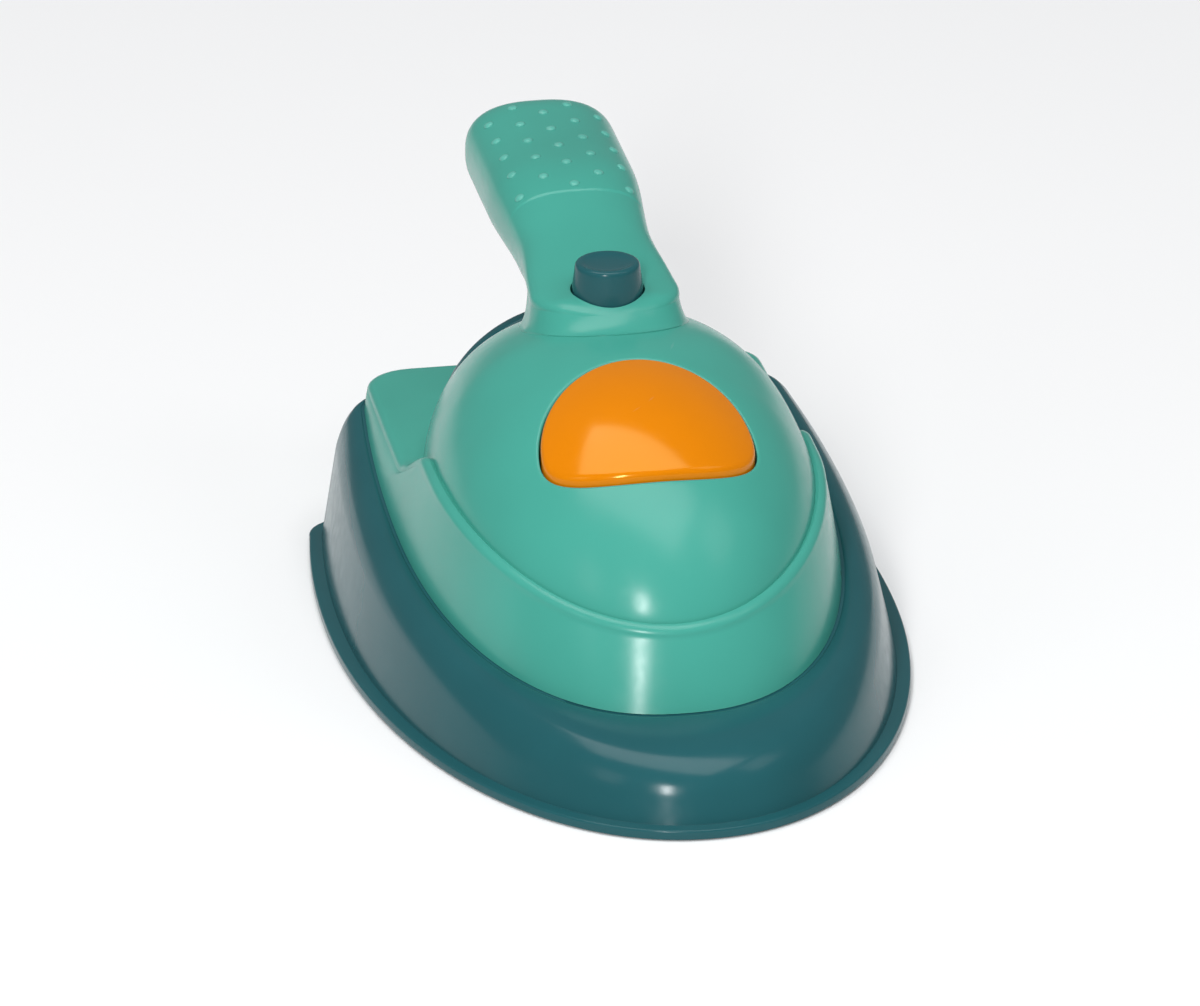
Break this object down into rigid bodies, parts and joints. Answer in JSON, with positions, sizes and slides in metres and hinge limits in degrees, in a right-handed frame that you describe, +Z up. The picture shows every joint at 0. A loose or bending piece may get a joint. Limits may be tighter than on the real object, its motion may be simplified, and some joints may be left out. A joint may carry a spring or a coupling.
{
  "type": "toy iron",
  "caption": "Pretend-play toy iron with a skirted sole, domed body, open-ended grip handle, arched orange steam button and round handle button.",
  "frame": {"origin": "centre of the bounding box in plan, on the surface that the sole rests on", "axes": "+Z up, the nose points to -Y and the open end of the handle to +Y, +X to the right of someone who faces the nose"},
  "size_m": [0.111, 0.195, 0.078],
  "materials": {
    "dark_plastic": "glossy dark teal moulded plastic",
    "teal_plastic": "glossy light teal moulded plastic",
    "orange_plastic": "glossy orange moulded plastic",
    "spring_steel": "drawn spring wire",
    "screw_steel": "zinc-plated screws"
  },
  "bodies": {
    "iron": {"sole_plate": "dark_plastic", "base_skirt": "dark_plastic", "body_shell": "teal_plastic", "heel_cap": "dark_plastic", "handle_shell": "teal_plastic", "handle_cover": "teal_plastic", "spring_bracket": "teal_plastic", "steam_spring": "spring_steel", "handle_spring": "spring_steel", "sole_screws": "screw_steel", "heel_screws": "screw_steel", "handle_screws": "screw_steel", "cover_screws": "screw_steel", "bracket_screws": "screw_steel"},
    "steam_button": {"steam_button": "orange_plastic"},
    "handle_button": {"handle_button": "dark_plastic"}
  },
  "joints": [
    {"name": "steam_press", "type": "slide", "parent": "iron", "child": "steam_button", "axis": [0, 0, -1], "range_m": [0, 0.002], "stiffness_N_per_m": 400, "springref_m": -0.002, "deforming": ["steam_spring"]},
    {"name": "handle_press", "type": "slide", "parent": "iron", "child": "handle_button", "axis": [0, 0, -1], "range_m": [0, 0.0025], "stiffness_N_per_m": 350, "springref_m": -0.002, "deforming": ["handle_spring"]}
  ]
}
